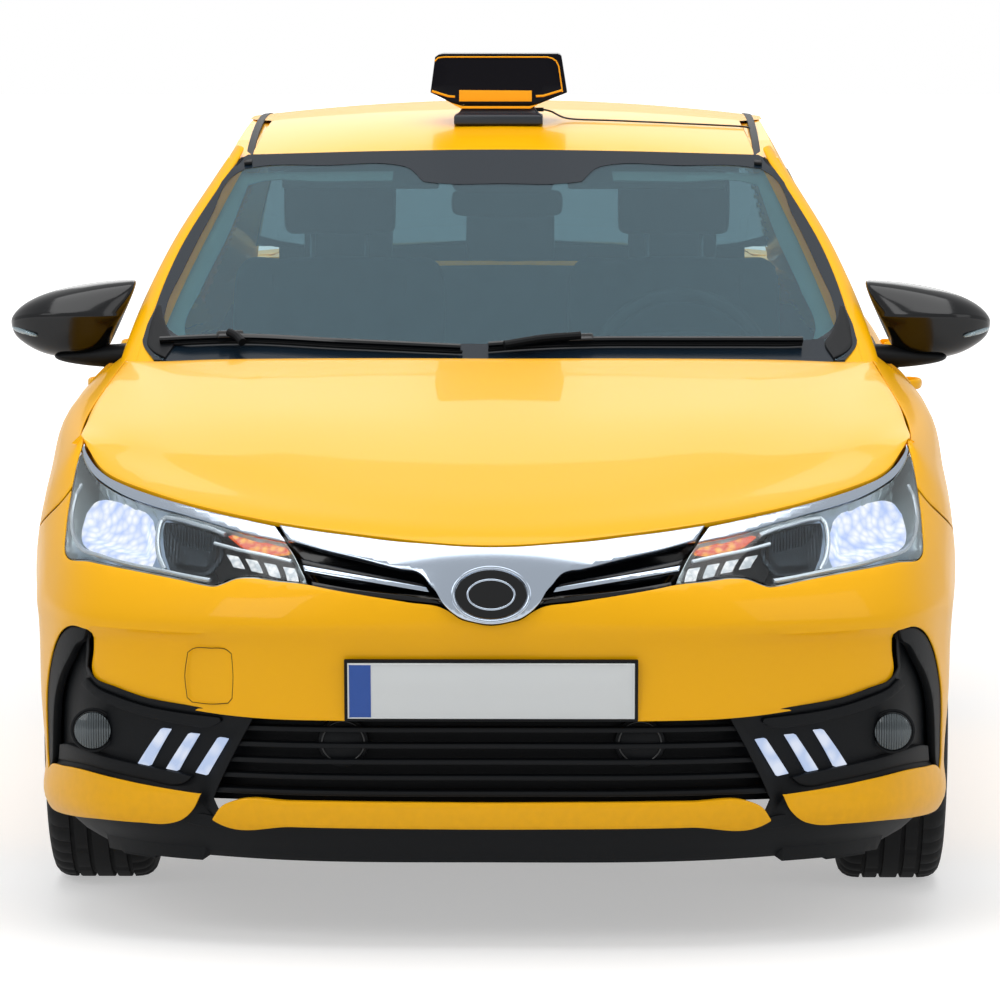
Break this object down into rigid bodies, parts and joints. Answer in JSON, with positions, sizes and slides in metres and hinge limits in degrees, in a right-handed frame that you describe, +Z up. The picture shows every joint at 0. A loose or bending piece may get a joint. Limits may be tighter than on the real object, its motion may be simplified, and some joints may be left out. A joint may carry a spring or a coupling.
{
  "type": "taxi cab",
  "caption": "Four-door saloon taxi cab with hollow cabin and boot, opening doors, bonnet and boot lid, steered front wheels, turning wheels and a roof sign on a cable.",
  "frame": {"origin": "on the ground, under the middle of the car", "axes": "+Y points to the rear of the car, so the front faces -Y; +X is the car's left side; +Z is up"},
  "size_m": [1.97, 4.6405, 1.582],
  "materials": {
    "body_paint": "glossy yellow enamel",
    "glass": "tinted",
    "lamp_clear": "clear moulded lens",
    "lamp_red": "red moulded lens",
    "gloss_black": "polished black",
    "black_plastic": "grained",
    "sign_plastic": "moulded",
    "cable_sheath": "smooth",
    "plate": "pressed, reflective white",
    "tyre": "rubber",
    "alloy": "silver lacquer",
    "steel": "satin black",
    "exhaust_steel": "heat-dulled",
    "cabin_plastic": "grained",
    "seat_cloth": "woven"
  },
  "bodies": {
    "root": {"bulkhead": "steel", "bumper_front": "body_paint", "bumper_rear": "body_paint", "cowl": "black_plastic", "dashboard": "cabin_plastic", "engine": "steel", "exhaust": "exhaust_steel", "floor_pan": "steel", "fog_pod_left": "black_plastic", "fog_pod_right": "black_plastic", "front_frame": "steel", "front_seat_left": "seat_cloth", "front_seat_right": "seat_cloth", "fuel_tank": "steel", "grille_lower": "black_plastic", "grille_upper": "gloss_black", "headlamp_left": "lamp_clear", "headlamp_right": "lamp_clear", "plate_front": "plate", "rear_axle": "steel", "rear_seat": "seat_cloth", "rear_shelf": "steel", "rear_window": "glass", "roof_panel": "body_paint", "side_frame_left": "body_paint", "side_frame_right": "body_paint", "sign_cable": "cable_sheath", "tail_lamp_left": "lamp_red", "tail_lamp_right": "lamp_red", "taxi_sign": "sign_plastic", "windscreen": "glass", "wing_left": "body_paint", "wing_right": "body_paint", "wipers": "black_plastic"},
    "door_front_left": {"door_front_left": "body_paint", "glass_front_left": "glass", "mirror_left": "gloss_black"},
    "door_front_right": {"door_front_right": "body_paint", "glass_front_right": "glass", "mirror_right": "gloss_black"},
    "door_rear_left": {"door_rear_left": "body_paint", "glass_rear_left": "glass"},
    "door_rear_right": {"door_rear_right": "body_paint", "glass_rear_right": "glass"},
    "bonnet": {"bonnet": "body_paint"},
    "boot_lid": {"boot_lid": "body_paint", "plate_rear": "plate"},
    "knuckle_left": {"knuckle_left": "steel"},
    "knuckle_right": {"knuckle_right": "steel"},
    "wheel_front_left": {"wheel_front_left": "alloy", "tyre_front_left": "tyre"},
    "wheel_front_right": {"wheel_front_right": "alloy", "tyre_front_right": "tyre"},
    "wheel_rear_left": {"wheel_rear_left": "alloy", "tyre_rear_left": "tyre"},
    "wheel_rear_right": {"wheel_rear_right": "alloy", "tyre_rear_right": "tyre"},
    "steering_wheel": {"steering_wheel": "cabin_plastic"}
  },
  "joints": [
    {"name": "door_front_left_swing", "type": "hinge", "parent": "root", "child": "door_front_left", "pos_m": [0.854, -0.916, 0.6], "axis": [0, 0, -1], "range_deg": [0, 65]},
    {"name": "door_rear_left_swing", "type": "hinge", "parent": "root", "child": "door_rear_left", "pos_m": [0.854, 0.06, 0.6], "axis": [0, 0, -1], "range_deg": [0, 65]},
    {"name": "door_front_right_swing", "type": "hinge", "parent": "root", "child": "door_front_right", "pos_m": [-0.854, -0.916, 0.6], "axis": [0, 0, 1], "range_deg": [0, 65]},
    {"name": "door_rear_right_swing", "type": "hinge", "parent": "root", "child": "door_rear_right", "pos_m": [-0.854, 0.06, 0.6], "axis": [0, 0, 1], "range_deg": [0, 65]},
    {"name": "bonnet_lift", "type": "hinge", "parent": "root", "child": "bonnet", "pos_m": [0, -1.07, 0.962], "axis": [-1, 0, 0], "range_deg": [0, 55]},
    {"name": "boot_lid_lift", "type": "hinge", "parent": "root", "child": "boot_lid", "pos_m": [0, 1.652, 1.048], "axis": [1, 0, 0], "range_deg": [0, 75]},
    {"name": "steer_left", "type": "hinge", "parent": "root", "child": "knuckle_left", "pos_m": [0.69, -1.35, 0.316], "axis": [0, 0, 1], "range_deg": [-32, 32]},
    {"name": "wheel_front_left_spin", "type": "hinge", "parent": "knuckle_left", "child": "wheel_front_left", "pos_m": [0.76, -1.35, 0.316], "axis": [1, 0, 0], "continuous": true},
    {"name": "wheel_rear_left_spin", "type": "hinge", "parent": "root", "child": "wheel_rear_left", "pos_m": [0.76, 1.35, 0.316], "axis": [1, 0, 0], "continuous": true},
    {"name": "steer_right", "type": "hinge", "parent": "root", "child": "knuckle_right", "pos_m": [-0.69, -1.35, 0.316], "axis": [0, 0, 1], "range_deg": [-32, 32]},
    {"name": "wheel_front_right_spin", "type": "hinge", "parent": "knuckle_right", "child": "wheel_front_right", "pos_m": [-0.76, -1.35, 0.316], "axis": [1, 0, 0], "continuous": true},
    {"name": "wheel_rear_right_spin", "type": "hinge", "parent": "root", "child": "wheel_rear_right", "pos_m": [-0.76, 1.35, 0.316], "axis": [1, 0, 0], "continuous": true},
    {"name": "steering_wheel_turn", "type": "hinge", "parent": "root", "child": "steering_wheel", "pos_m": [0.37, -0.56, 0.92], "axis": [0, 0.9063, 0.4226], "range_deg": [-480, 480]}
  ],
  "couplings": [
    {"joint": "steer_right", "follows": "steer_left", "ratio": 1},
    {"joint": "steering_wheel_turn", "follows": "steer_left", "ratio": 15}
  ]
}
